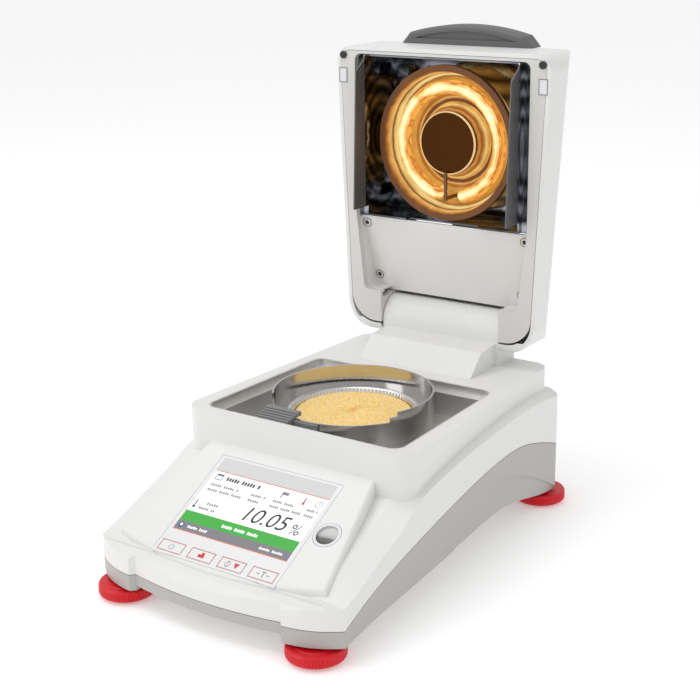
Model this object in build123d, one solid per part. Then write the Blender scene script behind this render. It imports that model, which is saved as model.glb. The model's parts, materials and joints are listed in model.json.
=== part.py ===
"""Moisture analyzer with a ring heater in a hinged lid, millimetres, +Z up.

X runs to the right seen from the front and Y to the back. Sizes along Y are
written from the middle of the four feet, and put() shifts every piece so that
the origin is under the middle of the whole machine with its lid open.
"""
import os
from math import atan2, cos, degrees, pi, radians, sin, sqrt

from build123d import *

os.makedirs("parts", exist_ok=True)

# General fits
wall = 2.6                  # moulded housing wall
fit = 0.3                   # gap between a seated piece and its seat
seam_gap = 0.5              # shadow line between the two housings

# Housing plan
front_half = 97.0           # half width at the front corner of the side wall
rear_half = 91.0            # half width at the rear corner
corner_y = -134.0           # front end of the side wall
rear_y = 158.0              # rear face
rear_radius = 10.0
nose_y = -151.5             # middle of the bowed front
nose_half = 58.0            # where the front meets the lobe over each front foot
nose_side_y = -145.6
lobe_half = 61.0
lobe_y = -148.8

# Heights of the side lines, as (y, z)
seam_front_z = 22.2
seam_line = [(-94, 36.4), (-46, 47.2), (6, 56.6), (62, 63.2), (93, 62.6), (125, 55.0), (160, 43.0)]
bottom_front_z = 11.4
nose_bottom_z = 14.8
bottom_line = [(-112, 14.6), (-70, 17.6), (-20, 20.8), (34, 24.6), (63, 25.6), (94, 21.2), (126, 13.8)]
heel_y, heel_z = 146.0, 10.8
crease_line = [(-116, 43.0), (-93, 52.0), (-70, 61.0), (-46, 72.6), (-21, 78.2), (5, 81.4), (61, 85.0),
               (100, 86.0), (155, 81.0)]
crease_front_z = 37.0
shoulder_rise = 5.5         # inner edge of the shoulder above the crease
shoulder_half = 79.0        # half width of the inner edge of the shoulder

# Chamber block
block_top = 104.0
block_front_y = -56.0
block_front_half = 91.5
block_rear_half = 81.0
block_radius = 14.0

# Control panel
panel_slope = 27.9          # degrees
panel_y, panel_z = -122.2, 49.1     # a point of the panel face, at the foot of the display
panel_front_half = 82.4
panel_side_y = -131.5
panel_nose_y = -141.5
panel_rear_half = 67.5
panel_edge = 2.6            # soft edge of the raised panel

# Display and keys, across and up the panel from that point
display_width, display_height = 92.0, 52.4
key_width, key_height = 19.6, 8.6
key_pitch = 24.4
key_middle = -13.1
overlay_half = 49.0
overlay_foot, overlay_head = -19.2, 65.0
overlay_thick = 0.8
level_x, level_up = 59.8, 26.5
level_radius = 9.2
level_bore = 7.4

# Chamber tray
tray_front_y, tray_rear_y = -48.0, 82.7
tray_front_half, tray_rear_half = 79.5, 75.3
tray_top = 103.2
tray_floor = 80.0
tray_ledge = 97.0
tray_sheet = 1.0
tray_radius = 9.0

# Pan, its support and its handler
pan_y = 18.2
pan_rim_radius, pan_radius = 46.5, 43.6
pan_top, pan_depth = 97.6, 7.6
pan_sheet = 0.6
handler_radius = 55.9
handler_sheet = 1.2
handler_top, handler_low = 110.6, 104.4
grip_left, grip_right = -36.0, -9.5
grip_front_y, grip_back_y = -46.3, -29.5
grip_low, grip_top = tray_ledge + 1.6, 107.4
grip_slope = 15.0
grip_arm_end = -80.0          # degrees round the ring where the clamp arm ends
stem_radius = 4.0

# Hinge
hinge_y, hinge_z = 150.7, 125.2
barrel_radius = 17.3
barrel_half = 50.4
hinge_step_half = 47.5
hinge_foot_y, hinge_crest_y, hinge_crest_z, hinge_back_z = 97.0, 112.8, 119.4, 121.4
pin_radius, pin_length = 4.0, 15.0
lid_open = 90.0             # degrees from closed to the rest pose

# Lid, closed
lid_bottom = 105.6
lid_top = 180.0
lid_front_y, lid_rear_y = -55.4, 160.0
lid_front_half, lid_rear_half = 88.5, 79.5
lid_front_radius, lid_rear_radius = 12.0, 24.0
lid_side_top = 127.0        # where the upright side begins to round over at the front
lid_nose_foot = 149.0
lid_roof_half = 50.0
lid_roof_drop = 8.0         # how much lower the roof is at the rear than at the front
lid_wall = 3.0
lid_heel_round = 6.3
roof_slots = 7
window_half, window_length = 26.0, 36.0
frame_sheet = 2.6
frame_front_y, frame_rear_y = -50.0, 128.0
frame_front_half, frame_rear_half = 72.5, 66.0
frame_bend_y = 70.0
cheek_radius, cheek_sheet = 19.4, 4.6
notch_gap = 1.0

# Heater
lamp_y = 12.3
lamp_radius = 56.4
lamp_rim_z = 113.9
lamp_depth = 20.0
tube_ring_radius, tube_radius = 40.0, 5.0
tube_gap = 17.0             # degrees from the middle to each end of the tube
tube_neck = 3.4
lamp_disc_radius = 23.0
box_half = 64.5
box_front_y, box_rear_y = -49.2, 70.4
box_top = 148.0
box_skirt_front, box_skirt_rear = 94.0, 89.6
box_sheet = 1.0
shield_front_y, shield_front_z = 71.8, 112.4
shield_rear_y, shield_rear_z = 132.2, 124.4
shield_sheet = 1.2

# Handle
handle_half = 54.6
handle_reach = 14.5
handle_low, handle_high = 141.0, 158.0
handle_dip = 1.6

# Levelling feet
foot_x, foot_front_y = 76.2, -135.0
rear_foot_x, foot_rear_y = 79.5, 148.0
foot_radius = 19.0
foot_base, foot_top = 1.6, 9.8
pad_radius = 14.0
stud_radius = 4.0
stud_top = 32.0
front_boss_foot, rear_boss_foot = 15.0, 20.0

# Inner frame
deck_low, deck_top = 29.0, 33.0
boss_radius = 7.0
post_radius, post_bore = 4.5, 1.6
# Each row gives x, y, floor, foot and head
post_places = [(72.0, -112.0, 14.2, 18.2, 51.0), (70.0, 128.0, 12.8, 17.6, 102.5)]

# Weighing cell
cell_low, cell_top = deck_top, 54.0
cell_length, cell_width = 78.0, 26.0

# Connectors on the rear face
inlet_x, inlet_z, inlet_width, inlet_height = -54.0, 70.0, 27.0, 20.0
port_z = 68.0
port_sizes = [(-16, 31.0, 12.6), (14, 12.0, 11.0), (31, 13.2, 6.0)]   # x, width, height
port_sheet, tongue_gap = 0.8, 1.6
serial_half = 8.6
vent_count = 5

# The origin under the middle of the whole
open_back_y = hinge_y + lid_top - hinge_z
shift_y = -(open_back_y + foot_front_y - foot_radius) / 2

hinge_line = Axis((0, hinge_y, hinge_z), (1, 0, 0))
up_panel = radians(panel_slope)
panel = Plane(origin=(0, panel_y, panel_z), x_dir=(1, 0, 0), z_dir=(0, -sin(up_panel), cos(up_panel)))


def put(name, shape):
    """Write one piece, shifted to the common origin."""
    solids = shape.solids() if hasattr(shape, "solids") else [shape]
    moved = [s.moved(Location((0, shift_y, 0))) for s in solids]
    whole = moved[0] if len(moved) == 1 else Compound(children=moved)
    export_step(whole, f"parts/{name}.step")
    return whole


def opened(shape):
    """Swing a piece that is drawn in the closed lid to the open rest pose."""
    return shape.rotate(hinge_line, -lid_open)


def prism(face, low, high):
    """A plan outline drawn at z = 0, raised between two heights."""
    return extrude(Pos(0, 0, low) * face, high - low)


def side_prism(points, half, plane=Plane.YZ):
    """A straight-sided YZ outline, as wide as half to each side."""
    return extrude(plane * make_face(Polyline(*points, close=True)), half, both=True)


def ring(outer, inner, low, high, x=0.0, y=0.0):
    body = Cylinder(outer, high - low, align=(Align.CENTER, Align.CENTER, Align.MIN))
    if inner:
        body -= Cylinder(inner, high - low, align=(Align.CENTER, Align.CENTER, Align.MIN))
    return Pos(x, y, low) * body


def block(x0, x1, y0, y1, z0, z1):
    return Pos((x0 + x1) / 2, (y0 + y1) / 2, (z0 + z1) / 2) * Box(x1 - x0, y1 - y0, z1 - z0)


def mirrored(shape):
    return mirror(shape, Plane.YZ)


def both_sides(shape):
    return Compound(children=[shape, mirrored(shape)])


def tapered_outline(front_y, back_y, half_front, half_back, front_radius, back_radius):
    """A trapezium seen from above, with rounded corners."""
    corners = [(-half_front, front_y), (half_front, front_y), (half_back, back_y), (-half_back, back_y)]
    face = make_face(Polyline(*corners, close=True))
    front = [v for v in face.vertices() if v.Y < (front_y + back_y) / 2]
    back = [v for v in face.vertices() if v.Y > (front_y + back_y) / 2]
    face = fillet(front, front_radius)
    back = [v for v in face.vertices() if v.Y > back_y - 0.01]
    return fillet(back, back_radius)


def housing_outline(inset=0.0):
    """The base seen from above: bowed front, a lobe over each front foot, tapered sides."""
    side = front_half - inset
    back = rear_half - inset
    bow = ThreePointArc((-nose_half - inset, nose_side_y + inset), (0, nose_y + inset),
                        (nose_half + inset, nose_side_y + inset))
    lobe_in = (lobe_half + inset, lobe_y + inset)
    lobe_mid = (83.0 - 0.6 * inset, -143.2 + inset)
    corner = (side, corner_y + 0.5 * inset)
    right = [Line(bow @ 1, lobe_in), ThreePointArc(lobe_in, lobe_mid, corner),
             Line(corner, (back, rear_y - inset)), Line((back, rear_y - inset), (0, rear_y - inset))]
    left = [mirror(edge, Plane.YZ) for edge in right]
    face = make_face([bow] + right + left)
    rear = [v for v in face.vertices() if v.Y > rear_y - inset - 0.01 and abs(v.X) > 1]
    return fillet(rear, rear_radius - inset)


def side_face(low_front, low_line, high_front, high_line, drop=0.0, lift=0.0, x=0.0):
    """The YZ face between two long curves that run level in front of the side wall."""
    ahead, behind = corner_y - 40, rear_y + 30
    low_points = [(corner_y, low_front)] + low_line
    high_points = [(corner_y, high_front)] + high_line
    low_points = [(y, z + lift) for y, z in low_points]
    high_points = [(y, z - drop) for y, z in high_points]
    low = Spline(*low_points)
    high = Spline(*high_points)
    low_end = low @ 1 + (low % 1) * ((behind - low_points[-1][0]) / (low % 1).X)
    high_end = (behind, high_points[-1][1])
    edges = [Line((ahead, low_points[0][1]), low @ 0), low, Line(low @ 1, low_end), Line(low_end, high_end),
             Line(high_end, high @ 1), high, Line(high @ 0, (ahead, high_points[0][1])),
             Line((ahead, high_points[0][1]), (ahead, low_points[0][1]))]
    return Pos(x, 0, 0) * (Plane.YZ * make_face(edges))


def base_form(inset=0.0):
    """The closed outer form of the upper housing above the seam, moved inwards by inset."""
    crest = [(y, z + shoulder_rise) for y, z in crease_line]
    low = seam_front_z + seam_gap
    seam = [(y, z + seam_gap) for y, z in seam_line]
    outer = side_face(low, seam, crease_front_z, crease_line, drop=inset, x=front_half)
    inner = side_face(low, seam, crease_front_z + 1.5, crest, drop=inset, x=shoulder_half)
    middle = extrude(inner, -2 * shoulder_half)
    flank = loft([inner, outer], ruled=True)
    form = middle + flank + mirrored(flank)
    form = form & prism(housing_outline(inset), 0, 200)
    form -= side_prism([(nose_y - 30, 60), (nose_y - 30, 25), (nose_y - 1.5, 29 - inset),
                        (nose_y + 1.5, 33.2 - inset), (nose_y + 5.5, 35.8 - inset),
                        (nose_y + 12.5, 37.4 - inset), (nose_y + 12.5, 60)], 120)
    chamber = tapered_outline(block_front_y + inset, rear_y - inset, block_front_half - inset,
                              block_rear_half - inset, block_radius - inset, block_radius - inset)
    form += prism(chamber, 70, block_top - inset)
    return form + raised_panel(inset)


def raised_panel(inset=0.0):
    """The sloping control panel that stands proud of the shoulders, with a soft edge."""
    half, back = panel_front_half - inset, panel_rear_half - inset
    corner_y, rear = panel_side_y + inset, block_front_y + 12
    bow = ThreePointArc((-half, corner_y), (0, panel_nose_y + inset), (half, corner_y))
    rear_half_here = back - (rear + 57) * (half - back) / 74.5
    edges = [bow, Line(bow @ 1, (rear_half_here, rear)),
             Line((rear_half_here, rear), (-rear_half_here, rear)), Line((-rear_half_here, rear), bow @ 0)]
    body = prism(make_face(edges), 34.0, 120)
    top = panel.offset(-inset) * Pos(0, 0, 60) * Box(400, 400, 120)
    body -= top
    face = body.faces().sort_by(Axis.Z)[-1]
    if inset == 0:
        rim = [e for e in face.edges() if e.center().Y < rear - 1]
        body = fillet(rim, panel_edge)
    return body


def hinge_form(inset=0.0):
    """The sloped hinge block and the round barrel on it."""
    low = block_top - 12
    step = side_prism([(hinge_foot_y + inset, low), (hinge_foot_y + inset, block_top - inset),
                       (hinge_crest_y + inset * 0.6, hinge_crest_z - inset),
                       (hinge_y, hinge_back_z + 0.6 - inset), (hinge_y, low)], hinge_step_half - inset)
    under = block(-barrel_half + inset, barrel_half - inset, hinge_y - barrel_radius + inset,
                  rear_y - inset, low, hinge_z)
    barrel = Pos(0, hinge_y, hinge_z) * Rot(0, 90, 0) * Cylinder(barrel_radius - inset,
                                                                2 * (barrel_half - inset))
    return step + under + barrel


def connector_cuts():
    """Holes in the rear face for the mains inlet and the data ports."""
    cuts = block(inlet_x - inlet_width / 2, inlet_x + inlet_width / 2, rear_y - 6, rear_y + 5,
                 inlet_z - inlet_height / 2, inlet_z + inlet_height / 2)
    for x, width, height in port_sizes:
        cuts += block(x - width / 2, x + width / 2, rear_y - 6, rear_y + 5,
                      port_z - height / 2, port_z + height / 2)
    for k in range(vent_count):
        x = 46 + k * 5.0
        cuts += block(x - 1.1, x + 1.1, rear_y - 6, rear_y + 5, port_z - 9, port_z + 9)
    return cuts


def tray_outline(gap=0.0):
    return tapered_outline(tray_front_y + gap, tray_rear_y - gap, tray_front_half - gap,
                           tray_rear_half - gap, tray_radius - gap, tray_radius - gap)


def on_panel(x, up, height, width, low, high):
    """A box lying in the panel, between two depths measured from its face."""
    return panel * Pos(x, up + height / 2, (low + high) / 2) * Box(width, height, high - low)


def key_places():
    return [(-1.5 * key_pitch) + k * key_pitch for k in range(4)]


def upper_housing():
    shell = base_form() + hinge_form()
    hollow = base_form(wall) + hinge_form(wall)
    hollow += side_prism([(-200, -10), (-200, seam_front_z + seam_gap + 0.2), (corner_y, seam_front_z + 0.7),
                          (corner_y, -10)], 60) & prism(housing_outline(wall), -10, 60)
    shell -= hollow
    shell -= prism(tray_outline(), block_top - 8, block_top + 5)
    recess = on_panel(0, overlay_foot - fit, overlay_head - overlay_foot + 2 * fit,
                      2 * (overlay_half + fit), -overlay_thick - 0.1, 10)
    shell -= recess
    shell -= on_panel(0, -2.0, display_height + 4, display_width + 4, -10, 10)
    for x in key_places():
        shell -= on_panel(x, key_middle - key_height / 2 - 1, key_height + 2, key_width + 2, -6, 6)
    shell -= panel * Pos(level_x, level_up) * Cylinder(level_radius + fit, 12)
    shell -= connector_cuts()
    for side in (-1, 1):
        pin_x = barrel_half - pin_length / 2 + 0.1
        shell -= cross_rod(side * pin_x, pin_radius + 0.03, pin_length)
        for x, y, floor, foot, head in post_places:
            shell += ring(post_radius, 0, deck_top, head, side * x, y)
            shell -= ring(post_bore, 0, deck_top, deck_top + 14, side * x, y)
    return max(shell.solids(), key=lambda s: s.volume)


def lower_housing():
    low_front = bottom_front_z
    face = side_face(low_front, bottom_line + [(heel_y, heel_z)], seam_front_z, seam_line)
    form = extrude(face, front_half + 5, both=True) & prism(housing_outline(), 0, 200)
    form -= side_prism([(heel_y + 1.5, heel_z - 1.5), (rear_y + 12, heel_z - 2), (rear_y + 12, 21.5)], 120)
    form -= block(-nose_half, nose_half, -160, corner_y + 16, 0, nose_bottom_z)
    inner = side_face(low_front + wall, [(y, z + wall) for y, z in bottom_line + [(heel_y, heel_z)]],
                      seam_front_z + 9, [(y, z + 9) for y, z in seam_line])
    hollow = extrude(inner, front_half + 5, both=True) & prism(housing_outline(wall), 0, 200)
    hollow -= side_prism([(heel_y - 2, heel_z + 2), (rear_y + 12, heel_z), (rear_y + 12, 25.5)], 120)
    hollow -= block(-nose_half - 2, nose_half + 2, -160, corner_y + 18, 0, nose_bottom_z + wall)
    form -= hollow
    pocket = side_pocket()
    form -= pocket
    form -= mirrored(pocket)
    for x, y in foot_places():
        form -= ring(stud_radius + 1.2, 0, 0, 30, x, y)
    for x, y, floor, foot, head in post_places:
        for side in (-1, 1):
            form += ring(post_radius + 1, 0, foot - 2, foot, side * x, y)
            form -= ring(post_bore + 0.2, 0, 0, foot + 1, side * x, y)
    return form


def side_pocket():
    """The shallow arched scoop low on the side wall."""
    arch = Spline((-2, 34.5), (30, 47.5), (60, 50.0), (94, 40.5), (128, 25.0), (150, 12.0))
    back = Line(arch @ 1, (150, 0))
    foot = Line((150, 0), (-6, 0))
    front = Line((-6, 0), (-2, 34.5))
    face = Plane.YZ * make_face([arch, back, foot, front])
    slab = extrude(Pos(rear_half - 20, 0, 0) * face, 40)
    skin = prism(housing_outline(), 0, 80) - prism(housing_outline(1.0), -1, 81)
    return slab & skin


def foot_places():
    pairs = ((foot_x, foot_front_y), (rear_foot_x, foot_rear_y))
    return [(side * x, y) for x, y in pairs for side in (-1, 1)]


def control_overlay():
    sheet = on_panel(0, overlay_foot, overlay_head - overlay_foot, 2 * overlay_half, -overlay_thick, 0)
    sheet -= on_panel(0, 0, display_height, display_width, -5, 5)
    for x in key_places():
        sheet -= on_panel(x, key_middle - key_height / 2, key_height, key_width, -5, 5)
    return sheet


def key_cap(x):
    """A key pad with a stem that ends just above the key board."""
    gap = 0.25
    pad = on_panel(x, key_middle - key_height / 2 + gap, key_height - 2 * gap, key_width - 2 * gap,
                   -1.4, 0)
    return pad + panel * Pos(x, key_middle, -1.7) * Cylinder(1.8, 1.0)


def display_glass():
    return on_panel(0, fit / 2, display_height - fit, display_width - fit, -1.4, -0.1)


def display_module():
    frame = on_panel(0, -1.5, display_height + 3, display_width + 3, -7.0, -1.5)
    board = on_panel(0, -1.5, display_height + 3, display_width + 3, -8.6, -7.0)
    return frame + board


def key_board():
    return on_panel(0, key_middle - 4.5, 9.5, 2 * overlay_half - 8, -wall - 1.6, -wall)


def level_bezel():
    rim = Cylinder(level_radius, 5.0) - Cylinder(level_bore, 5.0)
    return panel * Pos(level_x, level_up, -2.4) * rim


def level_vial():
    cup = Cylinder(level_bore - 0.1, 3.4)
    foot = Pos(0, 0, -2.6) * Cylinder(level_radius - 0.2, 1.8)
    return panel * Pos(level_x, level_up, -3.2) * (cup + foot)


def chamber_tray():
    """A drawn steel tray: rolled edge, a ledge, a lower floor and a neck for the pan stem."""
    outer = prism(tray_outline(fit), tray_ledge, tray_top) + prism(tray_outline(6.0), tray_floor, tray_ledge)
    outer += prism(tray_outline(-2.2), tray_top - 0.2, tray_top + 0.6) & prism(tray_outline(-0.0), 90, 110)
    inner = prism(tray_outline(fit + tray_sheet), tray_ledge + tray_sheet, 120)
    inner += prism(tray_outline(6.0 + tray_sheet), tray_floor + tray_sheet, 120)
    body = outer - inner
    neck = ring(9.0, stem_radius + 2.0, tray_floor, tray_floor + 5, 0, pan_y)
    body -= ring(stem_radius + 2.0, 0, tray_floor - 1, tray_floor + 3, 0, pan_y)
    return body + neck


def pan_support():
    """Three arms on a stem that stands on the load cell."""
    top = pan_top - pan_depth - pan_sheet
    body = ring(stem_radius, 0, cell_top, top - 1.6, 0, pan_y)
    body += ring(8.0, 0, top - 1.8, top - 0.1, 0, pan_y)
    for k in range(3):
        arm = Pos(0, pan_y, top - 0.9) * Rot(0, 0, 90 + 120 * k) * Pos(18, 0, 0) * Box(36, 5, 1.6)
        body += arm
    return body


def load_cell():
    """The weighing cell: a block with two slots that leave thin parallel flexures."""
    back_y = pan_y + cell_length - 10
    front_y = pan_y - 10
    body = block(-cell_width / 2, cell_width / 2, front_y, back_y, cell_low + 3, cell_top)
    body += block(-cell_width / 2, cell_width / 2, back_y - 22, back_y, cell_low, cell_low + 3)
    body -= block(-cell_width, cell_width, front_y + 20, back_y - 26, cell_low + 7.5, cell_top - 4.5)
    for y in (front_y + 20, back_y - 26):
        for z in (cell_low + 6.4, cell_top - 3.4):
            body -= Pos(0, y, z) * Rot(0, 90, 0) * Cylinder(2.2, 60)
    return body


def inner_deck():
    """The cast frame that ties the four feet, the load cell and the housings together."""
    plan = tapered_outline(foot_front_y - 2, foot_rear_y - 4, 82, 80, 8, 8)
    body = prism(plan, deck_low, deck_top)
    body -= block(-40, 40, -96, -36, deck_low - 1, deck_top + 1)
    body -= block(-60, 4, 92, 130, deck_low - 1, deck_top + 1)
    for x, y in foot_places():
        foot = front_boss_foot if y < 0 else rear_boss_foot
        body += ring(boss_radius, 0, foot, deck_top, x, y)
    for x, y, floor, foot, head in post_places:
        for side in (-1, 1):
            body += ring(post_radius + 1, 0, foot, deck_low, side * x, y)
            body -= ring(post_bore + 0.2, 0, foot - 1, deck_top + 1, side * x, y)
    for x, y in foot_places():
        body -= ring(stud_radius + 0.25, 0, 0, stud_top + 1, x, y)
    return body


def main_board():
    board = block(-62, -16, -8, 84, deck_top + 4, deck_top + 5.6)
    board += block(-58, -40, 2, 26, deck_top + 5.6, deck_top + 9)
    board += block(-36, -22, 40, 54, deck_top + 5.6, deck_top + 8)
    for x, y in ((-58, -4), (-20, -4), (-58, 80), (-20, 80)):
        board += ring(3, 1.2, deck_top, deck_top + 4, x, y)
    return board


def power_supply():
    board = block(20, 63, 88, 138, deck_top + 4, deck_top + 5.6)
    board += block(26, 48, 94, 120, deck_top + 5.6, deck_top + 22)
    board += ring(6, 0, deck_top + 5.6, deck_top + 24, 56, 104)
    for x, y in ((24, 92), (59, 92), (24, 134), (59, 134)):
        board += ring(3, 1.2, deck_top, deck_top + 4, x, y)
    return board


def mains_inlet():
    """Three-pin mains inlet with a recessed socket."""
    body = block(inlet_x - inlet_width / 2, inlet_x + inlet_width / 2, rear_y - 20, rear_y + 0.8,
                 inlet_z - inlet_height / 2, inlet_z + inlet_height / 2)
    body += block(inlet_x - inlet_width / 2 - 2, inlet_x + inlet_width / 2 + 2, rear_y + 0.1, rear_y + 2.4,
                  inlet_z - inlet_height / 2 - 2, inlet_z + inlet_height / 2 + 2)
    body -= block(inlet_x - inlet_width / 2 + 3, inlet_x + inlet_width / 2 - 3, rear_y - 14, rear_y + 5,
                  inlet_z - inlet_height / 2 + 3, inlet_z + inlet_height / 2 - 3)
    for x in (-7, 0, 7):
        body += block(inlet_x + x - 1, inlet_x + x + 1, rear_y - 15, rear_y - 7, inlet_z - 2, inlet_z + 2)
    return body


def data_ports():
    """A serial connector with a solid face and two sockets, each with a tongue in it."""
    x, width, height = port_sizes[0]
    serial = block(x - width / 2, x + width / 2, rear_y - 12, rear_y + 1.2, port_z - height / 2,
                   port_z + height / 2)
    serial += block(x - serial_half, x + serial_half, rear_y + 1.2, rear_y + 6, port_z - 4, port_z + 4)
    ports = [serial]
    for x, width, height in port_sizes[1:]:
        half, rise = width / 2 - port_sheet, height / 2 - port_sheet
        shell = block(x - width / 2, x + width / 2, rear_y - 12, rear_y + 1.2, port_z - height / 2,
                      port_z + height / 2)
        shell -= block(x - half, x + half, rear_y - 9, rear_y + 5, port_z - rise, port_z + rise)
        shell += block(x - half + tongue_gap, x + half - tongue_gap, rear_y - 9.5, rear_y,
                       port_z - rise + tongue_gap, port_z + rise - tongue_gap)
        ports.append(shell)
    return Compound(children=ports)


def sample_pan():
    base = pan_top - pan_depth
    profile = Polyline((0, base - pan_sheet), (pan_radius - 1.5, base - pan_sheet),
                       (pan_radius, pan_top - pan_sheet), (pan_rim_radius, pan_top - pan_sheet),
                       (pan_rim_radius, pan_top), (pan_radius - pan_sheet, pan_top),
                       (pan_radius - 1.5 - pan_sheet, base), (0, base), close=True)
    return Pos(0, pan_y, 0) * revolve(Plane.XZ * make_face(profile), Axis.Z)


def sample():
    base = pan_top - pan_depth + 0.05
    top = Spline((0, pan_top - 1.2), (16, pan_top - 1.6), (pan_radius - 6, pan_top - 3.6))
    edge = pan_radius - 2.6
    face = make_face([Line((0, base), (edge - 0.5, base)), Line((edge - 0.5, base), (edge, pan_top - 4.6)),
                      Line((edge, pan_top - 4.6), top @ 1), top, Line(top @ 0, (0, base))])
    return Pos(0, pan_y, 0) * revolve(Plane.XZ * face, Axis.Z)


def fan(reach, angles):
    """A wedge from the middle of the pan out to a reach at each angle, seen from above."""
    rim = [(reach * cos(radians(a)), pan_y + reach * sin(radians(a))) for a in angles]
    return make_face(Polyline((0, pan_y), *rim, close=True))


def pan_handler():
    """A steel ring, low at the front, with a ledge under the rim of the pan."""
    low = tray_floor + tray_sheet + 0.2
    body = ring(handler_radius, handler_radius - handler_sheet, low, handler_top, 0, pan_y)
    ledge_top = pan_top - pan_sheet - 0.8
    body += ring(handler_radius - 0.4, pan_radius + 0.8, ledge_top - 1.2, ledge_top, 0, pan_y)
    reach = handler_radius + 4
    body -= prism(fan(reach * 1.6, (-140, -85, -30)), handler_low, handler_top + 4)
    body -= prism(fan(reach * 1.3, (-30, -24)), handler_top - 3, handler_top + 4)
    return body


def handler_grip():
    """The moulded grip on the front of the ring: a ribbed slope for the thumb and a clamp arm."""
    body = block(grip_left, grip_right, grip_front_y, grip_back_y, grip_low, grip_top)
    crest = Pos(0, grip_back_y - 3, grip_top) * Rot(grip_slope, 0, 0)
    body -= crest * Pos(0, -30, 10) * Box(200, 60, 20)
    for k in range(5):
        body -= crest * Pos(0, -2.2 - 2.7 * k, 0) * Box(200, 1.1, 1.2)
    outer = handler_radius + 0.05
    arm = ring(outer + 2.2, outer, grip_low - 1, handler_low - 0.8, 0, pan_y)
    arm = arm & prism(fan(2 * handler_radius, (-104, grip_arm_end)), 90, 110)
    body += arm
    body -= ring(outer, handler_radius - handler_sheet - 0.05, 90, handler_low + 0.05, 0, pan_y)
    body -= ring(handler_radius - handler_sheet, 0, 90, handler_low + 0.05, 0, pan_y)
    return body.solids().sort_by(SortBy.VOLUME)[-1]


def cross_rod(x, radius, length):
    """A round bar on the hinge line, centred at x."""
    return Pos(x, hinge_y, hinge_z) * Rot(0, 90, 0) * Cylinder(radius, length)


def hinge_pins():
    return both_sides(cross_rod(barrel_half + cheek_sheet + 1.0 - pin_length / 2, pin_radius, pin_length))


def lid_flank(inset):
    """The right flank and the roof, drawn at the front and carried back along the narrowing side."""
    side, top = lid_front_half + 1 - inset, lid_top - inset
    arch = ThreePointArc((side, lid_side_top), (side - 12, lid_side_top + 26), (lid_roof_half, top - 2.5))
    crown = ThreePointArc((lid_roof_half, top - 2.5), (lid_roof_half / 2, top - 0.6), (0, top))
    edges = [Line((-200, 60), (side, 60)), Line((side, 60), (side, lid_side_top)), arch, crown,
             Line((0, top), (-200, top)), Line((-200, top), (-200, 60))]
    back = Vector(lid_rear_half - lid_front_half, lid_rear_y - lid_front_y, -lid_roof_drop)
    section = Plane(origin=(0, lid_front_y, 0), x_dir=(1, 0, 0), z_dir=(0, -1, 0)) * make_face(edges)
    return extrude(section, back.length * 1.1, dir=back) + extrude(section, 20, dir=-back)


def lid_form(inset=0.0):
    """The crowned lid, closed: outline from above, arched flanks, rounded ends from the side."""
    front, back = lid_front_y + inset, lid_rear_y - inset
    outline = tapered_outline(front, back, lid_front_half - inset, lid_rear_half - inset,
                              lid_front_radius - inset, lid_rear_radius - inset)
    plan = prism(outline, lid_bottom - 1, lid_top + 5)
    flank = lid_flank(inset)
    top = lid_top - inset
    nose = ThreePointArc((front, lid_nose_foot), (front + 9, lid_top - 14 - inset), (front + 34, top))
    tail = ThreePointArc((back - 46, top), (back - 12, lid_top - 20 - inset), (back, lid_nose_foot - 14))
    heel = lid_heel_round
    mid = heel * (1 - cos(pi / 4))
    low = ThreePointArc((back, lid_bottom + heel), (back - mid, lid_bottom + mid),
                        (back - heel, lid_bottom))
    edges = [Line((front, lid_bottom), nose @ 0), nose, Line(nose @ 1, tail @ 0), tail,
               Line(tail @ 1, low @ 0), low, Line(low @ 1, (front, lid_bottom))]
    along = extrude(Plane.YZ * make_face(edges), 200, both=True)
    return plan & flank & mirror(flank, Plane.YZ) & along


def hinge_notch(gap):
    """The room that the barrel and the hinge block need in the lid."""
    half = barrel_half + gap
    return block(-half, half, hinge_foot_y - 6, lid_rear_y + 20, lid_bottom - 5, hinge_z) + (
        Pos(0, hinge_y, hinge_z) * Rot(0, 90, 0) * Cylinder(barrel_radius + gap, 2 * half)) + block(
        -half, half, hinge_y, lid_rear_y + 20, hinge_z - 1, hinge_z + barrel_radius + gap)


def lid_shell():
    body = lid_form() - lid_form_inner()
    body -= hinge_notch(notch_gap)
    body -= roof_window()
    for side in (-1, 1):
        for k in range(roof_slots):
            body -= Pos(side * 44, 86 + k * 7, lid_top) * Box(34, 3, 50)
    return body


def lid_form_inner():
    gap = lid_wall
    mouth = tapered_outline(lid_front_y + gap, lid_rear_y - lid_heel_round, lid_front_half - gap,
                            lid_rear_half - gap, lid_front_radius - gap, lid_rear_radius - gap)
    return lid_form(lid_wall) + prism(mouth, lid_bottom - 1, lid_bottom + 8)


def roof_window(gap=0.0):
    plan = RectangleRounded(2 * (window_half + gap), window_length + 2 * gap, 8)
    return Pos(0, lamp_y, 0) * prism(plan, lid_top - 8, lid_top + 8)


def viewing_window():
    pane = roof_window(-fit) & (lid_form(0.6) - lid_form(lid_wall - 0.4))
    return pane


def frame_opening(gap=0.0):
    half = [(frame_front_half + gap, frame_front_y - gap), (frame_front_half + gap, frame_bend_y),
            (frame_rear_half + gap, frame_rear_y + gap)]
    face = make_face(Polyline(*half, *[(-x, y) for x, y in reversed(half)], close=True))
    return fillet([v for v in face.vertices() if abs(v.Y - frame_bend_y) > 1], 5)


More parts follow.
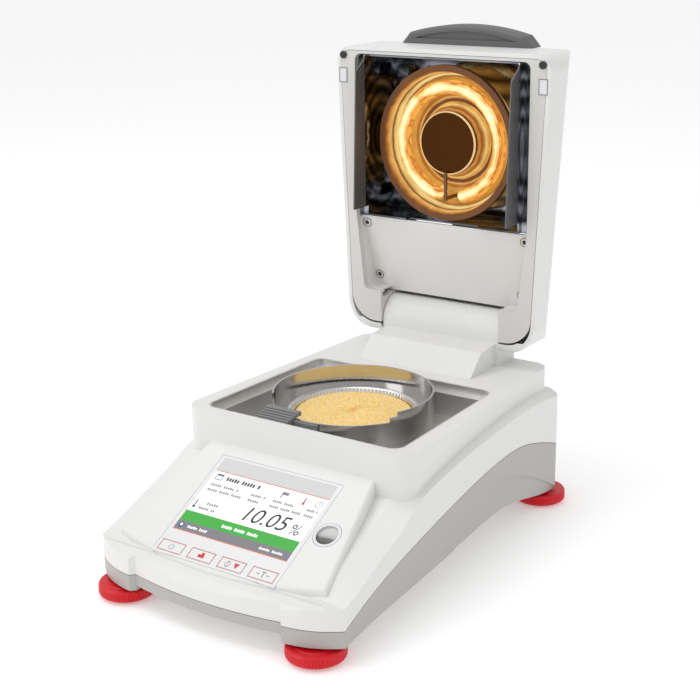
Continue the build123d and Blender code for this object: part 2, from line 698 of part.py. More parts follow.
def lid_frame():
    """The inner rim of the lid, with the two cheeks that turn on the hinge pins."""
    gap = lid_wall + fit
    plan = tapered_outline(lid_front_y + gap, lid_rear_y - lid_heel_round - 1.5, lid_front_half - gap,
                           lid_rear_half - gap, lid_front_radius - gap, lid_rear_radius - gap)
    body = prism(plan, lid_bottom, lid_bottom + frame_sheet)
    body -= prism(frame_opening(), lid_bottom - 1, lid_bottom + 9)
    lip = prism(frame_opening(1.6), lid_bottom, lid_bottom + 5) - prism(frame_opening(), lid_bottom - 1, 140)
    body += lip
    cheek_x = barrel_half + 0.6
    cheek = cross_rod(cheek_x + cheek_sheet / 2, cheek_radius, cheek_sheet)
    cheek += block(cheek_x, cheek_x + cheek_sheet, frame_rear_y + 5, hinge_y, lid_bottom, hinge_z + 14)
    body += cheek + mirrored(cheek)
    body -= block(-barrel_half - 0.6, barrel_half + 0.6, frame_rear_y - 10, 200, 90, 160)
    body -= cross_rod(0, pin_radius + 0.15, 200)
    return body & prism(plan, lid_bottom - 20, 160)


def reflector_box():
    """Polished sheet box round the heater, whose two side skirts dip into the chamber."""
    outer = block(-box_half, box_half, box_front_y, box_rear_y, lid_bottom + 3.0, box_top)
    inner = block(-box_half + box_sheet, box_half - box_sheet, box_front_y + box_sheet,
                  box_rear_y - box_sheet, 60, box_top - box_sheet)
    skirt = side_prism([(box_front_y, lid_bottom + 4), (box_front_y, lid_bottom - 0.4),
                        (box_front_y + 3.5, lid_bottom - 1.0), (box_front_y + 11.0, box_skirt_front),
                        (box_rear_y - 7.0, box_skirt_rear), (box_rear_y - 7.0, lid_bottom + 4)], box_half)
    skirt -= block(-box_half + box_sheet, box_half - box_sheet, -100, 120, 60, 130)
    body = outer + skirt - inner
    flange = block(-frame_front_half - 2.2, frame_front_half + 2.2, box_front_y, box_rear_y,
                   lid_bottom + 5.2, lid_bottom + 6.2)
    flange -= block(-box_half + 0.5, box_half - 0.5, -100, 120, 60, 130)
    body += flange
    body -= block(-30, 30, box_rear_y - 3, box_rear_y + 3, 100, handler_top + 1.4)
    for x in (-1, 1):
        for y in (box_front_y + 14, box_rear_y - 14):
            body += Pos(x * (box_half - 14), y, box_top - 5.5) * Box(9, 9, 10)
    return body


def heater_reflector():
    """Spun dish with a rolled rim, a step for each band of light and a raised middle."""
    r = lamp_radius
    z = lamp_rim_z
    d = lamp_depth
    outline = [(18, z + d), (r - 11, z + d), (r - 4.5, z + d - 6), (r - 3, z + 6), (r, z + 4), (r, z),
               (r - 4.5, z), (r - 6, z + 6), (r - 7.5, z + d - 7), (r - 13, z + d - 2), (28, z + d - 2),
               (24, z + 8), (18, z + 8)]
    dish = Pos(0, lamp_y, 0) * revolve(Plane.XZ * make_face(Polyline(*outline, close=True)), Axis.Z)
    for x, y in tube_ends():
        dish -= ring(tube_neck + 0.4, 0, z, z + d + 5, x, y + lamp_y)
    return dish


def tube_ends():
    """Where the two ends of the heater tube turn up through the dish."""
    angles = [radians(90 + side * tube_gap) for side in (-1, 1)]
    return [(tube_ring_radius * cos(a), tube_ring_radius * sin(a)) for a in angles]


def heater_disc():
    """The dark round plate in the middle of the heater, on its core."""
    z = lamp_rim_z
    body = ring(lamp_disc_radius, 0, z + 3.5, z + 5.0, 0, lamp_y)
    body += ring(17.8, 0, z + 5.0, box_top - box_sheet, 0, lamp_y)
    return body


def halogen_tube():
    """A ring-shaped quartz tube whose two ends turn up through the dish."""
    z = lamp_rim_z + 9.0
    path = CenterArc((0, 0, 0), tube_ring_radius, 90 + tube_gap, 360 - 2 * tube_gap)
    section = Plane(origin=path @ 0, z_dir=path % 0) * Circle(tube_radius)
    body = sweep(section, path=path)
    for x, y in tube_ends():
        body += Pos(x, y, 0) * Sphere(tube_radius)
        body += ring(tube_neck, 0, 0, lamp_depth - 9.0 + 3.0, x, y)
    return Pos(0, lamp_y, z) * body


def lamp_brackets():
    """Pillars that hold the dish to the roof of the box."""
    parts = []
    for a in (45, 135, 225, 315):
        x, y = 34 * cos(radians(a)), lamp_y + 34 * sin(radians(a))
        parts.append(ring(3.2, 0, lamp_rim_z + lamp_depth, box_top - box_sheet, x, y))
    return Compound(children=parts)


def temperature_probe():
    z = lamp_rim_z + 1.6
    front, back = lamp_disc_radius - 2, tube_ring_radius + 2
    body = Pos(0, lamp_y + (front + back) / 2, z) * Rot(90, 0, 0) * Cylinder(1.4, back - front)
    return body + ring(1.4, 0, z, lamp_rim_z + lamp_depth - 2.1, 0, lamp_y + back - 1.4)


def heat_shield():
    """The pale sheet between the heater and the hinge, sloped to clear the hinge block."""
    lean = degrees(atan2(shield_rear_z - shield_front_z, shield_rear_y - shield_front_y))
    length = sqrt((shield_rear_y - shield_front_y) ** 2 + (shield_rear_z - shield_front_z) ** 2)
    front, rear = frame_front_half + 0.5, frame_rear_half + 0.5
    face = make_face(Polyline((-front, 0), (front, 0), (rear, length), (-rear, length), close=True))
    body = extrude(face, shield_sheet)
    body = Pos(0, shield_front_y, shield_front_z) * Rot(lean, 0, 0) * body
    body -= cross_rod(0, cheek_radius + 0.6, 2 * (barrel_half + cheek_sheet + 1.4))
    low = lid_bottom + 5
    walls = prism(frame_opening(0.5), low, 140) - prism(frame_opening(-0.6), low - 1, 141)
    walls = walls & side_prism([(shield_front_y + 0.6, low), (frame_rear_y + 1, low),
                                (frame_rear_y + 1, shield_rear_z - 0.4),
                                (shield_front_y + 0.6, shield_front_z + 0.6)], 100)
    walls -= block(-barrel_half - 2, barrel_half + 2, frame_rear_y - 14, 200, 90, 160)
    return body + walls


def shield_screws():
    lean = atan2(shield_rear_z - shield_front_z, shield_rear_y - shield_front_y)
    screws = []
    for x, up in ((67.4, 5.4), (61.6, 48.0)):
        y = shield_front_y + up * cos(lean)
        z = shield_front_z + up * sin(lean)
        head = Rot(degrees(lean), 0, 0) * Pos(0, 0, -0.6) * Cylinder(3.6, 1.2)
        for side in (-1, 1):
            screws.append(Pos(side * x, y, z) * head)
    return Compound(children=screws)


def lid_bumpers():
    bumper = Pos(82.1, -48.6, lid_bottom - 0.7) * Cylinder(2.7, 1.4)
    return both_sides(bumper)


def closure_windows():
    pad = Pos(82.6, -33.9, lid_bottom - 0.25) * Box(7.0, 11.0, 0.5)
    return both_sides(pad)


def lid_handle():
    """A bow-shaped grip across the front of the lid, dished underneath for the fingers."""
    front = lid_front_y - 0.1
    reach = front - handle_reach
    bow = ThreePointArc((-handle_half + 7, front - 8), (0, reach), (handle_half - 7, front - 8))
    edges = [bow, Line(bow @ 1, (handle_half, front)), Line((handle_half, front), (-handle_half, front)),
             Line((-handle_half, front), bow @ 0)]
    body = prism(make_face(edges), handle_low, handle_high)
    middle = (handle_low + handle_high) / 2
    outer = [e for e in body.edges() if e.center().Y < front - 4 and abs(e.center().Z - middle) > 5]
    body = fillet(outer, 3.0)
    dip = ThreePointArc((-handle_half + 12, front - 4), (0, reach + 4.5), (handle_half - 12, front - 4))
    body -= prism(make_face([dip, Line(dip @ 1, dip @ 0)]), handle_low - 1, handle_low + handle_dip)
    return body


def foot_wheel(x, y):
    body = ring(foot_radius, 0, foot_base, foot_top, x, y)
    body = fillet(body.edges().filter_by(GeomType.CIRCLE), 1.6)
    body -= ring(pad_radius + 0.1, 0, foot_base - 1, foot_base + 0.9, x, y)
    return body - ring(stud_radius, 0, foot_base + 1.6, foot_top + 1, x, y)


def foot_stud(x, y):
    return ring(stud_radius - 0.02, 0, foot_base + 1.6, stud_top, x, y)


def foot_pad(x, y):
    return ring(pad_radius, 0, 0, foot_base + 0.8, x, y)


def housing_screws():
    """The four long screws that close the housings from below."""
    screws = []
    for x, y, floor, foot, head in post_places:
        for side in (-1, 1):
            screws.append(ring(post_bore, 0, floor - 0.5, deck_top + 12, side * x, y)
                          + ring(3.0, 0, floor - 1.7, floor, side * x, y))
    return Compound(children=screws)


root_nodes = {
    "upper_housing": upper_housing,
    "lower_housing": lower_housing,
    "inner_deck": inner_deck,
    "control_overlay": control_overlay,
    "display_glass": display_glass,
    "display_module": display_module,
    "key_board": key_board,
    "level_bezel": level_bezel,
    "level_vial": level_vial,
    "chamber_tray": chamber_tray,
    "pan_support": pan_support,
    "load_cell": load_cell,
    "main_board": main_board,
    "power_supply": power_supply,
    "mains_inlet": mains_inlet,
    "data_ports": data_ports,
    "housing_screws": housing_screws,
    "hinge_pins": hinge_pins,
    "pan_handler": pan_handler,
    "handler_grip": handler_grip,
    "sample_pan": sample_pan,
    "sample": sample,
}
lid_nodes = {
    "lid_shell": lid_shell,
    "lid_frame": lid_frame,
    "viewing_window": viewing_window,
    "reflector_box": reflector_box,
    "heater_reflector": heater_reflector,
    "heater_disc": heater_disc,
    "halogen_tube": halogen_tube,
    "lamp_brackets": lamp_brackets,
    "temperature_probe": temperature_probe,
    "heat_shield": heat_shield,
    "shield_screws": shield_screws,
    "lid_bumpers": lid_bumpers,
    "closure_windows": closure_windows,
    "lid_handle": lid_handle,
}

for name, maker in root_nodes.items():
    put(name, maker())
for name, maker in lid_nodes.items():
    put(name, opened(maker()))
for name, x in zip(("power_key", "print_key", "start_key", "tare_key"), key_places()):
    put(name, key_cap(x))
for (x, y), name in zip(foot_places(), ("front_left", "front_right", "rear_left", "rear_right")):
    put(f"{name}_foot_wheel", foot_wheel(x, y))
    put(f"{name}_foot_stud", foot_stud(x, y))
    put(f"{name}_foot_pad", foot_pad(x, y))
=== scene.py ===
import json
import math
import random

import bpy
from mathutils import Matrix, Vector


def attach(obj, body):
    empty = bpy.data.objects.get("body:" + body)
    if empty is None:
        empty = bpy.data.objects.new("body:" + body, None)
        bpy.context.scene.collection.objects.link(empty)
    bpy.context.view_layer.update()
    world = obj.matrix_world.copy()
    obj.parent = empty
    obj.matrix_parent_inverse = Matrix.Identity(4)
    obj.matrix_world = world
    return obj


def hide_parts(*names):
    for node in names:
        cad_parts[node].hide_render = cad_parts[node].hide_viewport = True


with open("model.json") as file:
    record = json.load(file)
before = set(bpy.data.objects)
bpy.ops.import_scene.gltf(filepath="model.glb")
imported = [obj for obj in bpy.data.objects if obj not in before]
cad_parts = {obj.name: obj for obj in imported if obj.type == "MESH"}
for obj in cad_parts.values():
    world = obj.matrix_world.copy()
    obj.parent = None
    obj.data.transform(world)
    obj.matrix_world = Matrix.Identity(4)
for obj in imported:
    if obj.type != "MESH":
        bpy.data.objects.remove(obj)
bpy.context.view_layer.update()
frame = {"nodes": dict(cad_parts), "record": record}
print("frame loaded with", len(frame["nodes"]), "nodes")

# Places that the CAD is drawn from, in millimetres
place = {"shiftY": -25.75, "hingeY": 150.7, "hingeZ": 125.2, "slope": math.radians(27.9),
         "panelY": -122.2, "panelZ": 49.1, "panY": 18.2, "lampY": 12.3}
fullTurn = 2 * math.pi
dice = random.Random(7)


def spot(x, y, z):  # millimetres on the device to metres in the frame
    return Vector((x, y + place["shiftY"], z)) / 1000


def lidSpot(x, y, z):  # a place in the closed lid, swung to the open lid
    back = place["hingeY"] + z - place["hingeZ"]
    return spot(x, back, place["hingeZ"] + place["hingeY"] - y)


def panelSpot(x, up, out):  # a place on the sloping panel, up from its front edge
    cosine, sine = math.cos(place["slope"]), math.sin(place["slope"])
    return spot(x, place["panelY"] + up * cosine - out * sine, place["panelZ"] + up * sine + out * cosine)


class Wire:
    def __init__(self, shade, socket):
        self.shade, self.socket = shade, socket

    def join(self, kind, other, swap=False):
        pair = (other, self) if swap else (self, other)
        return self.shade.maths(kind, *pair)

    def __add__(self, other):
        return self.join("ADD", other)

    def __radd__(self, other):
        return self.join("ADD", other, True)

    def __sub__(self, other):
        return self.join("SUBTRACT", other)

    def __rsub__(self, other):
        return self.join("SUBTRACT", other, True)

    def __mul__(self, other):
        return self.join("MULTIPLY", other)

    def __rmul__(self, other):
        return self.join("MULTIPLY", other, True)

    def __truediv__(self, other):
        return self.join("DIVIDE", other)

    def __rtruediv__(self, other):
        return self.join("DIVIDE", other, True)

    def __lt__(self, other):
        return self.join("LESS_THAN", other)

    def __gt__(self, other):
        return self.join("GREATER_THAN", other)


class Shade:
    def __init__(self, name, colour, rough, metal=0.0, coat=0.0):
        self.material = bpy.data.materials.new(name)
        self.material.use_nodes = True
        self.tree = self.material.node_tree
        self.shader = self.tree.nodes["Principled BSDF"]
        self.colour = colour
        self.put("Base Color", (*colour, 1)).put("Roughness", rough)
        self.put("Metallic", metal).put("Coat Weight", coat)

    def make(self, kind, settings=None, inputs=None):
        node = self.tree.nodes.new(kind)
        for key, value in (settings or {}).items():
            setattr(node, key, value)
        for key, value in (inputs or {}).items():
            self.feed(node.inputs[key], value)
        return node

    def feed(self, socket, value):
        if isinstance(value, Wire):
            self.tree.links.new(value.socket, socket)
        else:
            socket.default_value = value

    def maths(self, kind, *values):
        node = self.make("ShaderNodeMath", {"operation": kind}, dict(enumerate(values)))
        return Wire(self, node.outputs[0])

    def where(self):
        return Wire(self, self.make("ShaderNodeTexCoord").outputs["Object"])

    def spots(self):
        split = self.make("ShaderNodeSeparateXYZ", None, {"Vector": self.where()})
        return [Wire(self, split.outputs[k]) for k in range(3)]

    def noise(self, scale, stretch=(1, 1, 1), detail=3.0):
        mapped = self.make("ShaderNodeMapping", None, {"Vector": self.where(), "Scale": stretch})
        inputs = {"Vector": Wire(self, mapped.outputs[0]), "Scale": scale, "Detail": detail}
        return Wire(self, self.make("ShaderNodeTexNoise", None, inputs).outputs[0])

    def mix(self, factor, one, two):
        node = self.make("ShaderNodeMix", {"data_type": "RGBA"})
        self.feed(node.inputs[0], factor)
        self.feed(node.inputs[6], (*one, 1) if isinstance(one, tuple) else one)
        self.feed(node.inputs[7], (*two, 1) if isinstance(two, tuple) else two)
        return Wire(self, node.outputs[2])

    def ramp(self, factor, stops):
        node = self.make("ShaderNodeValToRGB", None, {"Fac": factor})
        ramp = node.color_ramp
        while len(ramp.elements) < len(stops):
            ramp.elements.new(0.5)
        for element, (at, colour) in zip(ramp.elements, stops):
            element.position, element.color = at, (*colour, 1)
        return Wire(self, node.outputs[0])

    def put(self, socket, value):
        self.feed(self.shader.inputs[socket], value)
        return self

    def glow(self, colour, strength):
        return self.put("Emission Color", colour).put("Emission Strength", strength)

    def bump(self, height, strength, distance):
        inputs = {"Strength": strength, "Distance": distance, "Height": height}
        return self.put("Normal", Wire(self, self.make("ShaderNodeBump", None, inputs).outputs[0]))

    def tint(self, cloud, spread):  # the colour, darker by a share where the cloud is thin
        dark = tuple(c * (1 - spread) for c in self.colour)
        return self.put("Base Color", self.mix(cloud, dark, self.colour))


def moulded(name, colour, rough, grain=2600, strength=0.12, coat=0.0):  # plastic with a fine grain
    shade = Shade(name, colour, rough, 0.0, coat)
    fine = shade.noise(grain, detail=2.0)
    wide = shade.noise(9.0)
    shade.tint(wide, 0.03).put("Roughness", wide * 0.06 + (rough - 0.03))
    return shade.bump(fine, strength, 0.0001)


# Metal with fine lines along the stretch
def metal(name, colour, rough, stretch=(1, 1, 1), scale=60.0, spread=0.12, strength=0.1):
    shade = Shade(name, colour, rough, 1.0)
    lines = shade.noise(scale, stretch)
    wide = shade.noise(14.0)
    shade.tint(lines, spread).put("Roughness", lines * 0.12 + wide * 0.06 + (rough - 0.08))
    return shade.bump(lines, strength, 0.00005)


def flatInk(name, colour, glow=0.0):
    shade = Shade(name, colour, 0.4)
    shade.tint(shade.noise(300.0), 0.04)
    if glow:
        shade.glow((*colour, 1), glow)
    return shade


paints = {
    "white_shell": moulded("whiteShell", (0.81, 0.808, 0.80), 0.38),
    "grey_shell": moulded("greyShell", (0.47, 0.455, 0.435), 0.42),
    "cast_frame": metal("castFrame", (0.5, 0.51, 0.53), 0.5, scale=400.0),
    "overlay_film": moulded("overlayFilm", (0.80, 0.80, 0.80), 0.3, grain=4200, strength=0.05),
    "black_plastic": moulded("blackPlastic", (0.018, 0.018, 0.019), 0.45),
    "circuit_board": moulded("circuitBoard", (0.03, 0.14, 0.06), 0.4, grain=900),
    "level_ring": moulded("levelRing", (0.72, 0.73, 0.74), 0.25, coat=0.3),
    "tray_steel": metal("traySteel", (0.84, 0.83, 0.815), 0.42, (1, 14, 14), 90.0),
    "cell_aluminium": metal("cellAluminium", (0.62, 0.63, 0.65), 0.3, (1, 9, 1), 120.0),
    "port_metal": metal("portMetal", (0.45, 0.45, 0.47), 0.35),
    "key_film": moulded("keyFilm", (0.81, 0.81, 0.812), 0.3, grain=4200, strength=0.05),
    "ring_steel": metal("ringSteel", (0.62, 0.61, 0.60), 0.13, (1, 1, 30), 40.0, 0.08, 0.05),
    "grey_plastic": moulded("greyPlastic", (0.125, 0.126, 0.13), 0.5, grain=1500, strength=0.3),
    "pan_foil": metal("panFoil", (0.80, 0.80, 0.80), 0.25, scale=220.0, strength=0.3),
    "window_glass": moulded("windowGlass", (0.78, 0.79, 0.80), 0.12, coat=0.6),
    "dark_disc": metal("darkDisc", (0.055, 0.020, 0.006), 0.42, (1, 1, 8), 60.0),
    "probe_steel": metal("probeSteel", (0.20, 0.12, 0.07), 0.35),
    "pale_sheet": moulded("paleSheet", (0.77, 0.762, 0.745), 0.34, grain=1800, strength=0.1),
    "red_wheel": moulded("redWheel", (0.70, 0.002, 0.012), 0.36, grain=900, strength=0.1),
    "rubber_pad": moulded("rubberPad", (0.02, 0.02, 0.02), 0.7),
}
nodePaintAndShade = {  # nodes painted apart from their slot: the lid frame's white darkened as painted shade, the grip a lighter grey
    "lid_frame": moulded("rimWhitePaintedShade", (0.68, 0.668, 0.648), 0.4),
    "handler_grip": moulded("gripGrey", (0.21, 0.212, 0.216), 0.5, grain=1500, strength=0.3),
}

# Ground grain on the pan
meal = {"colour": (0.92, 0.68, 0.28), "rough": 0.75, "scale": 900.0, "detail": 4.0,
        "bump": 0.6, "height": 0.0006,
        "stops": [(0.30, (0.80, 0.44, 0.09)), (0.48, (0.98, 0.70, 0.24)), (0.68, (0.98, 0.85, 0.55))]}
grain = Shade("sampleGrain", meal["colour"], meal["rough"])
speck = grain.noise(meal["scale"], detail=meal["detail"])
grain.put("Base Color", grain.ramp(speck, meal["stops"])).bump(speck, meal["bump"], meal["height"])
paints["sample_grain"] = grain

# Lit display
display = {"colour": (0.86, 0.87, 0.88), "rough": 0.16, "coat": 0.4, "haze": 40.0, "spread": 0.02,
           "low": (0.90, 0.91, 0.92), "high": (0.93, 0.94, 0.95), "strength": 0.28}
screen = Shade("screen", display["colour"], display["rough"], 0.0, display["coat"])
haze = screen.noise(display["haze"])
screen.tint(haze, display["spread"])
screen.glow(screen.mix(haze, display["low"], display["high"]), display["strength"])
paints["screen"] = screen

# Bubble level, darkened towards its front by painted shade
level = {"x": 59.8, "up": 26.5, "out": -1.5, "rise": 62.0, "mottle": 0.2, "scale": 120.0, "middle": 0.30,
         "stops": [(0.08, (0.020, 0.019, 0.018)), (0.30, (0.11, 0.105, 0.10)),
                   (0.42, (0.50, 0.49, 0.48)), (0.95, (0.74, 0.735, 0.73))]}
liquid = Shade("levelLiquid", (0.5, 0.5, 0.5), 0.3)
along = liquid.spots()[1] - panelSpot(level["x"], level["up"], level["out"]).y
# painted shade: the ramp runs from near black at the front to pale grey further back
rise = along * level["rise"] + liquid.noise(level["scale"]) * level["mottle"] + level["middle"]
liquid.put("Base Color", liquid.ramp(rise, level["stops"]))
paints["level_liquid"] = liquid

# Reflector box: polished sheet with faint rings of the lamp painted on as a reflection, with duller side
# skirts
box = {"colour": (0.30, 0.30, 0.305), "ringMid": 127.0, "skirtFrom": 105.0, "stretch": 2.6, "pitch": 620.0,
       "sway": 5.0, "dark": (0.055, 0.058, 0.065), "pale": (0.34, 0.35, 0.38), "skirt": (0.13, 0.13, 0.132),
       "rough": 0.08, "skirtRough": 0.3, "waveRough": 0.1, "skirtMetal": 0.6, "bump": 0.7, "height": 0.004}
mirror = Shade("mirrorSteel", box["colour"], 0.16, 1.0)
wave = mirror.noise(26.0, (1, 1, 1.6), 2.0)
depth, height = mirror.spots()[1:]
skirtZone = depth < lidSpot(0, 0, box["skirtFrom"]).y
ringDepth, ringHeight = depth - lidSpot(0, 0, box["ringMid"]).y, height - lidSpot(0, place["lampY"], 0).z
# painted reflection: pale and dark rings round the lamp's place
ringPlace = mirror.maths("SQRT", ringDepth * ringDepth * box["stretch"] + ringHeight * ringHeight)
reflectedLampRings = mirror.maths("SINE", ringPlace * box["pitch"] + wave * box["sway"])
reflectedRingTone = mirror.mix(reflectedLampRings * 0.5 + 0.5, box["dark"], box["pale"])
mirror.put("Base Color", mirror.mix(skirtZone, reflectedRingTone, box["skirt"]))
mirror.put("Roughness", skirtZone * box["skirtRough"] + wave * box["waveRough"] + box["rough"])
mirror.put("Metallic", 1.0 - skirtZone * box["skirtMetal"])
mirror.bump(wave, box["bump"], box["height"])
paints["mirror_steel"] = mirror

# Heater dish: glowing bands painted on it as the lamp's reflection; each stop of its bands is a share of the
# dish's radius
heater = {"radius": 0.0564, "rim": 113.9, "wallFrom": 0.765, "wallDepth": 5.0, "wallDrop": 0.006,
          "wobble": 0.022, "glow": 0.85, "dim": (0.20, 0.05, 0.004), "outerFrom": 0.915,
          "inner": (0.04, 0.012, 0.003), "outer": (0.12, 0.050, 0.016)}
reflectedLampBands = [(0.0, (0.03, 0.008, 0.002)), (0.40, (0.10, 0.025, 0.003)), (0.425, (0.90, 0.42, 0.10)),
         (0.445, (0.30, 0.07, 0.005)), (0.470, (1.0, 0.66, 0.22)), (0.495, (0.95, 0.50, 0.10)),
         (0.515, (0.13, 0.030, 0.003)), (0.545, (0.16, 0.035, 0.003)), (0.565, (0.90, 0.50, 0.12)),
         (0.600, (0.45, 0.13, 0.01)), (0.640, (0.85, 0.42, 0.08)), (0.765, (0.70, 0.30, 0.04)),
         (0.785, (0.16, 0.035, 0.003)), (0.800, (1.0, 0.80, 0.36)), (0.850, (1.0, 0.66, 0.20)),
         (0.866, (0.11, 0.028, 0.003)), (0.884, (1.0, 0.66, 0.24)), (0.905, (0.80, 0.36, 0.08)),
         (0.922, (0.035, 0.012, 0.003)), (1.0, (0.022, 0.010, 0.004))]
lampMid = lidSpot(0, place["lampY"], heater["rim"])


def lampPlace(shade):  # a share of the dish's radius, and the place in depth
    x, y, z = shade.spots()
    rise = z - lampMid.z
    return shade.maths("SQRT", x * x + rise * rise) / heater["radius"], y


dish = Shade("lampDish", (0.35, 0.16, 0.06), 0.3, 0.35)
radius, depth = lampPlace(dish)
wobble = dish.noise(140.0, (1, 1, 1), 2.0)
patch = dish.noise(75.0, (1, 1, 1), 2.0)
wallPlace = (depth - lampMid.y) * 1000.0 - heater["wallDepth"]
wallDrop = dish.maths("MAXIMUM", wallPlace, 0.0) * (radius > heater["wallFrom"])
bandAt = radius - wallDrop * heater["wallDrop"] + (wobble - 0.5) * heater["wobble"]
ripple = dish.maths("SINE", radius * 190.0) * 0.16 + patch * 1.1 + 0.25
ripple = dish.maths("MINIMUM", ripple, 1.0)
# painted reflection of the lamp: the dish glows in bands though it is no lamp
dish.glow(dish.mix(ripple, heater["dim"], dish.ramp(bandAt, reflectedLampBands)), heater["glow"])
outer = radius > heater["outerFrom"]
dish.put("Base Color", dish.mix(outer, heater["inner"], heater["outer"]))
dish.put("Roughness", outer * 0.18 + wobble * 0.1 + 0.3)
dish.bump(wobble + ripple * 0.3, 0.35, 0.0012)
paints["lamp_dish"] = dish

# Glowing ring tube, brightest along its middle
tube = {"at": 0.709, "narrow": 9.5, "streak": 1.3, "rings": 0.10, "pitch": 210.0, "start": 0.10, "glow": 0.95,
        "stops": [(0.0, (1.0, 0.93, 0.66)), (0.34, (1.0, 0.84, 0.42)), (0.55, (1.0, 0.52, 0.11)),
                  (0.78, (0.36, 0.09, 0.008)), (0.95, (0.80, 0.36, 0.06))]}
quartz = Shade("quartz", (0.30, 0.12, 0.03), 0.2)
radius = lampPlace(quartz)[0]
streak = quartz.noise(90.0)
rings = quartz.maths("SINE", radius * tube["pitch"]) * tube["rings"]
across = quartz.maths("ABSOLUTE", radius - tube["at"]) * tube["narrow"] + (streak - 0.5) * tube["streak"]
quartz.glow(quartz.ramp(across + rings + tube["start"], tube["stops"]), tube["glow"])
paints["quartz"] = quartz

# Middle disc, lit on its edge
edge = {"from": 0.393, "face": (0.022, 0.007, 0.001), "lit": (1.0, 0.70, 0.34)}
disc = paints["dark_disc"]
disc.glow(disc.mix(lampPlace(disc)[0] > edge["from"], edge["face"], edge["lit"]), heater["glow"])

for part in frame["record"]["subparts"]:
    node = frame["nodes"][part["node"]]
    node.data.materials.clear()
    node.data.materials.append(nodePaintAndShade.get(part["node"], paints[part["material_slot"]]).material)
print("materials on every node:", len(paints))


def addMesh(name, points, faces, shade, body, smooth=False):
    data = bpy.data.meshes.new(name)
    data.from_pydata([tuple(p) for p in points], [], faces)
    data.validate()
    data.materials.append(shade.material)
    for face in data.polygons:
        face.use_smooth = smooth
    thing = bpy.data.objects.new(name, data)
    bpy.context.scene.collection.objects.link(thing)
    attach(thing, body)
    return thing


def spun(profile, count, mapping):  # turns a profile round, each point moved by the mapping
    points, faces = [], []
    rows = len(profile)
    for k in range(count):
        angle = fullTurn * k / count
        for j, corner in enumerate(profile):
            radius, height = mapping(j, *corner, angle, k)
            points.append((radius * math.cos(angle), radius * math.sin(angle), height))
    for k in range(count):
        after = (k + 1) % count
        for j in range(rows - 1):
            faces.append((k * rows + j, after * rows + j, after * rows + j + 1, k * rows + j + 1))
    return points, faces


# Knurled foot wheels
wheel = {"radius": 19.0, "low": 1.6, "high": 9.8, "hub": 4.0, "recess": 14.1, "recessDeep": 0.85,
         "flutes": 72, "depth": 0.5, "round": 1.5, "rim": (6, 7, 8)}
places = {"front_left": (-76.2, -135.0), "front_right": (76.2, -135.0),
          "rear_left": (-79.5, 148.0), "rear_right": (79.5, 148.0)}


def wheelProfile():
    reach, low, high, curve = wheel["radius"], wheel["low"], wheel["high"], wheel["round"]
    top = [(wheel["hub"], high), (reach - 5.5, high), (reach - 5.0, high - 0.25),
           (reach - curve - 0.4, high - 0.25), (reach - curve * 0.5, high - curve * 0.3),
           (reach - 0.05, high - curve)]
    rim = [(reach, high - curve - 0.5), (reach, low + curve + 0.3), (reach - 0.1, low + curve)]
    base = [(reach - curve * 0.5, low + curve * 0.35), (reach - curve, low), (wheel["recess"], low),
            (wheel["recess"], low + wheel["recessDeep"]), (wheel["hub"], low + wheel["recessDeep"])]
    return top + rim + base


def flute(j, radius, height, angle, k):
    if j in wheel["rim"] and k % 4 in (0, 1):
        return radius - wheel["depth"], height
    return radius, height


points, faces = spun(wheelProfile(), wheel["flutes"] * 4, flute)
for side, (wx, wy) in places.items():
    shifted = [spot(wx + px, wy + py, pz) for px, py, pz in points]
    piece = addMesh(side + "Wheel", shifted, faces, paints["red_wheel"], side + "_wheel_body",
                    False)
    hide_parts(side + "_foot_wheel")
print("foot wheels knurled")

# Crimped foil pan: its wall waves in and out, its lip also up and down
pan = {"pleats": 96, "steps": 6, "wave": 0.32, "lift": 0.16, "edgeLift": 0.4, "drop": 0.05, "lipWave": 0.10,
       "wall": (3, 4, 10, 11), "lip": (5, 6, 7, 8, 9), "edge": (6, 7)}
profile = [(0.01, 89.42), (20.0, 89.42), (41.6, 89.42), (42.3, 92.0), (43.3, 96.7), (45.8, 96.8),
           (46.45, 97.1), (46.2, 97.5), (45.2, 97.45), (43.1, 97.35), (42.6, 96.4), (41.5, 92.0),
           (40.9, 90.1), (38.5, 89.95), (20.0, 89.9), (0.01, 89.9)]


def crimp(j, radius, height, angle, k):
    swing = math.cos(angle * pan["pleats"])
    if j in pan["wall"]:
        radius += swing * pan["wave"]
    if j in pan["lip"]:
        height += swing * pan["lift"] * (pan["edgeLift"] if j in pan["edge"] else 1.0) - pan["drop"]
        radius += swing * pan["lipWave"] - pan["lipWave"]
    return radius, height


points, faces = spun(profile, pan["pleats"] * pan["steps"], crimp)
piece = addMesh("crimpedPan", [spot(px, place["panY"] + py, pz) for px, py, pz in points], faces,
                paints["pan_foil"], "handler", True)
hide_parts("sample_pan")
print("pan crimped")

# Granular sample: a rough bed with a skirt below its rim, and loose grains on it
bed = {"radius": 40.6, "top": 96.0, "edge": 95.1, "base": 90.2, "rings": 46, "steps": 150, "rough": 0.28,
       "rimDrop": 0.9, "skirt": 40.0, "grains": 2600, "small": 0.25, "large": 0.55, "scatter": 0.985,
       "lift": 0.15, "sink": 0.05, "topGrain": 96.3, "ceiling": 96.38}


def panSpot(reach, angle, height):
    return spot(reach * math.cos(angle), place["panY"] + reach * math.sin(angle), height)


